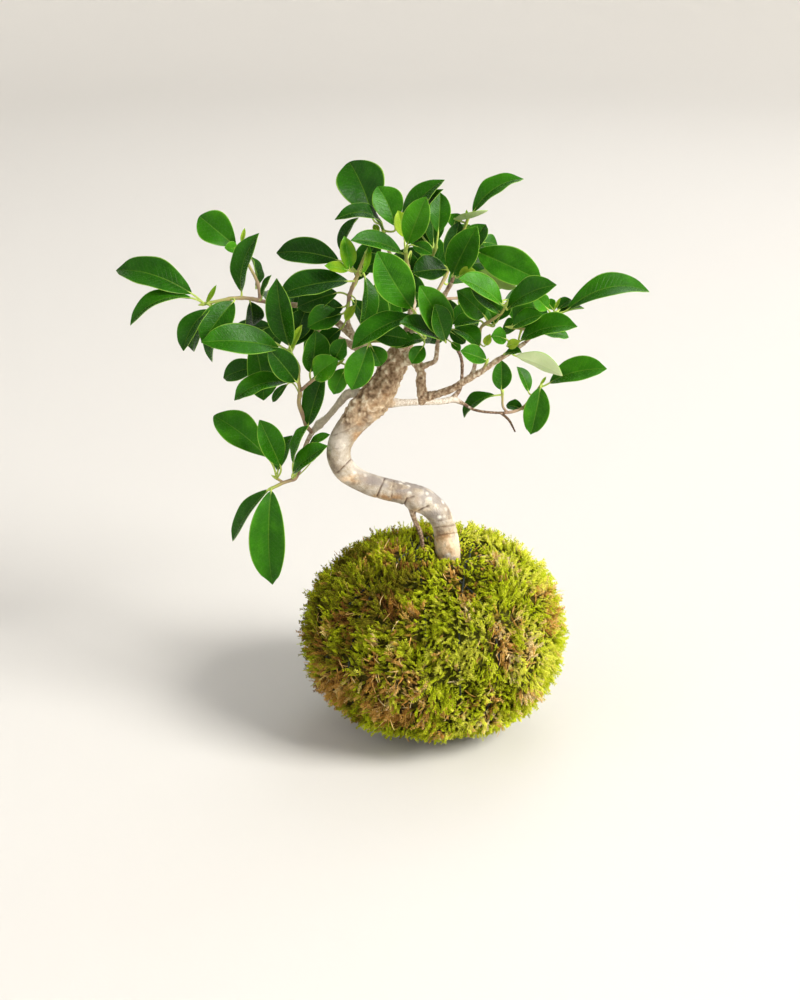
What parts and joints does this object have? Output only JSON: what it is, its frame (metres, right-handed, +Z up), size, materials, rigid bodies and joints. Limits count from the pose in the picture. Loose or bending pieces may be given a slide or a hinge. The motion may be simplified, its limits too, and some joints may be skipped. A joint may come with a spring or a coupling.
{
  "type": "kokedama plant",
  "caption": "Bonsai fig with an S-shaped grey trunk and glossy oval leaves, growing in a moss-wrapped soil ball bound with dark thread.",
  "frame": {"origin": "centre of the flat spot under the moss ball, on the surface it rests on", "axes": "+Z up along the plant's height; +X to the right and +Y away from the viewer of the picture"},
  "size_m": [0.2872, 0.1596, 0.3241],
  "materials": {
    "soil": "matte",
    "moss": "matte",
    "thread": "satin",
    "bark": "matte",
    "leaf": "gloss"
  },
  "bodies": {
    "root": {"soil_ball": "soil", "moss_wrap": "moss", "binding_thread": "thread", "trunk": "bark", "shoot_far_left": "leaf", "shoot_left": "leaf", "shoot_low_left": "leaf", "shoot_hanging": "leaf", "shoot_top_left": "leaf", "shoot_top": "leaf", "shoot_heart": "leaf", "shoot_centre": "leaf", "shoot_top_right": "leaf", "shoot_right": "leaf", "shoot_far_right": "leaf", "shoot_front": "leaf", "shoot_front_low": "leaf", "shoot_back_right": "leaf", "shoot_rear_left": "leaf", "shoot_rear": "leaf"}
  },
  "joints": []
}
